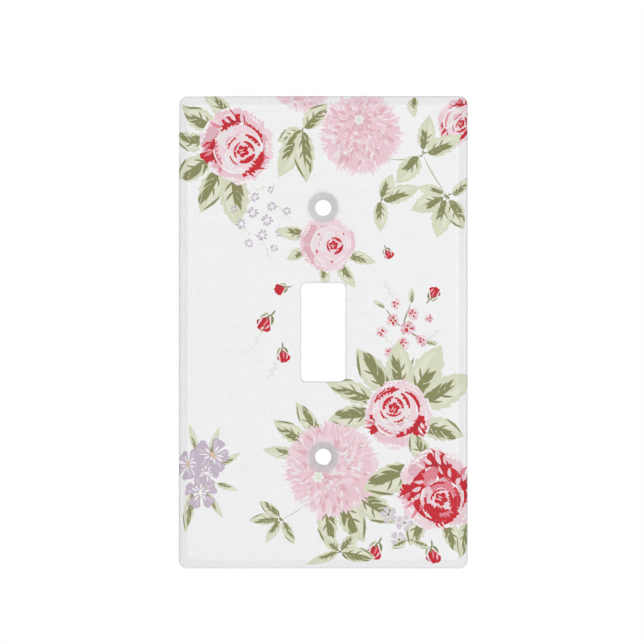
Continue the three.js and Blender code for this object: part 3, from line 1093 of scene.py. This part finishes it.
def film_material():
    """Glossy film: the print's inks, slightly uneven, over the faint threads of the printed cloth. In and
    round the countersinks a painted shade mixes the inks towards pale grey."""
    n = Nodes(bpy.data.materials.new("glossy_print"))
    ink = n.add("ShaderNodeAttribute", attribute_name="ink").outputs["Color"]
    threads_across = n.noise(waves_per_mm=1.7, detail=2.0, stretch=(12, 1, 1))
    threads_across = n.spread(threads_across, 0.988, 1.006, 0.35, 0.65)
    threads_up = n.noise(waves_per_mm=1.7, detail=2.0, stretch=(1, 1, 16))
    threads_up = n.spread(threads_up, 0.994, 1.004, 0.35, 0.65)
    clouds = n.spread(n.noise(waves_per_mm=0.04, detail=2.0), 0.995, 1.004)
    amount = n.math("MULTIPLY", n.math("MULTIPLY", threads_across, threads_up), clouds)
    grain = n.spread(n.noise(waves_per_mm=1.6, detail=3.0), 0.997, 1.003)
    # Painted shade: in and round the countersinks the inks are mixed towards grey.
    sink_shaded = n.add("ShaderNodeMix", data_type="RGBA")
    fill(sink_shaded, B=(*linear(INK["thin"]), 1.0))
    n.join(n.math("MULTIPLY", sink_shade_mask(n), SINK_SHADE), sink_shaded.inputs["Factor"])
    n.join(ink, sink_shaded.inputs["A"])
    colour = n.shade(sink_shaded.outputs["Result"], n.math("MULTIPLY", amount, grain))
    n.join(colour, n.shader.inputs["Base Color"])
    gloss = n.spread(n.noise(waves_per_mm=0.3, detail=3.0), 0.25, 0.29)
    n.join(gloss, n.shader.inputs["Roughness"])
    fill(n.shader, IOR=FILM_IOR)
    n.bump(n.noise(waves_per_mm=0.7, detail=2.0), distance_mm=0.003, strength=0.15)
    return n.owner


def uneven_colour(n, colour, patches, low, high):
    """Gives a material one colour that varies from patch to patch between low and high times itself."""
    base = n.add("ShaderNodeRGB")
    base.outputs[0].default_value = colour
    n.join(n.shade(base.outputs[0], n.spread(patches, low, high)), n.shader.inputs["Base Color"])


def shell_material():
    """White moulded thermoplastic, satin, with a fine spark-eroded texture."""
    n = Nodes(bpy.data.materials.new("white_plastic"))
    uneven_colour(n, PLASTIC_WHITE, n.noise(waves_per_mm=0.08, detail=4.0), 0.965, 1.02)
    gloss = n.spread(n.noise(waves_per_mm=1.2, detail=4.0), 0.30, 0.46)
    n.join(gloss, n.shader.inputs["Roughness"])
    fill(n.shader, IOR=PLASTIC_IOR)
    n.bump(n.noise(waves_per_mm=5.0, detail=3.0), distance_mm=0.006, strength=0.5)
    return n.owner


def floor_material():
    """A plain pale floor that is lit a little from within, like a light table."""
    n = Nodes(bpy.data.materials.new("pale_floor"))
    uneven_colour(n, FLOOR_GREY, n.noise(waves_per_mm=0.004, detail=3.0), 0.985, 1.01)
    fill(n.shader, Roughness=FLOOR_ROUGHNESS, Emission_Color=WHITE, Emission_Strength=FLOOR_GLOW)
    return n.owner


# Stage, light and camera, with lengths in millimetres

LENS = 150.0
SENSOR_WIDTH = 36.0
VIEW_WIDTH = 155.4
VIEW_CENTRE = (-0.29, 2.49)
FLOOR_DROP = 220.0
FLOOR_RADIUS = 900.0
FLOOR_SIDES = 96
SOFTBOX_SIZE = 300
BACK_SOFTBOX_SIZE = 420
HORIZON_BLEND = 0.25


def add_floor():
    """A round floor well below the plate."""
    bpy.ops.mesh.primitive_circle_add(
        vertices=FLOOR_SIDES, radius=FLOOR_RADIUS * MM, fill_type="NGON",
        location=(0, 0, -(HALF_SIZE[1] + FLOOR_DROP) * MM),
    )
    floor = bpy.context.object
    floor.name = "floor"
    floor.data.materials.append(floor_material())


def add_softbox(name, place_mm, watts, size_mm=SOFTBOX_SIZE):
    """A square soft light that faces the plate."""
    light = bpy.data.lights.new(name, "AREA")
    light.size = size_mm * MM
    light.energy = watts
    box = add_object(name, light)
    box.location = Vector(place_mm) * MM
    box.rotation_euler = (-box.location).to_track_quat("-Z", "Y").to_euler()


def add_white_surround(seen, in_front, behind):
    """A white surround that shines more from in front of the plate than from behind it. The backdrop that
    is seen has one brightness of its own."""
    n = Nodes(bpy.data.worlds.new("white_surround"), "Background", "Generated")
    bpy.context.scene.world = n.owner
    fill(n.shader, Color=WHITE)
    _, backwards, _ = n.axes()
    strength = n.spread(backwards, in_front, behind, -HORIZON_BLEND, HORIZON_BLEND)
    strength.node.interpolation_type = "SMOOTHSTEP"
    n.join(strength, n.shader.inputs["Strength"])
    backdrop = n.add("ShaderNodeBackground")
    fill(backdrop, Color=WHITE, Strength=seen)
    choose = n.add("ShaderNodeMixShader")
    n.join(n.add("ShaderNodeLightPath").outputs["Is Camera Ray"], choose.inputs["Fac"])
    n.join(n.shader.outputs["Background"], choose.inputs[1])
    n.join(backdrop.outputs["Background"], choose.inputs[2])
    n.join(choose.outputs["Shader"], n.tree.nodes["World Output"].inputs["Surface"])


def add_camera():
    """Straight in front of the plate, level, with the plate slightly below the middle of the view."""
    camera = bpy.data.cameras.new("camera")
    camera.lens = LENS
    camera.sensor_width = SENSOR_WIDTH
    eye = add_object("camera", camera)
    distance = VIEW_WIDTH * LENS / SENSOR_WIDTH
    eye.location = Vector((VIEW_CENTRE[0], -distance - DEPTH, VIEW_CENTRE[1])) * MM
    eye.rotation_euler = (math.pi / 2, 0, 0)
    bpy.context.scene.camera = eye


film = build_film()
film.data.materials.append(film_material())
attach(film, "root")
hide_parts("print_film")

shell = build_shell()
shell.data.materials.clear()
shell.data.materials.append(shell_material())
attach(shell, "root")
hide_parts("plate_shell")

add_floor()
add_softbox("right_softbox", (340, -700, 20), watts=0.95)
add_softbox("left_softbox", (-370, -700, 0), watts=0.50)
add_softbox("high_softbox", (0, -700, 370), watts=0.45)
add_softbox("back_softbox", (-260, 760, 300), watts=3.4, size_mm=BACK_SOFTBOX_SIZE)
add_white_surround(seen=1.0, in_front=0.72, behind=0.30)
add_camera()
bpy.context.scene.view_settings.view_transform = "Standard"
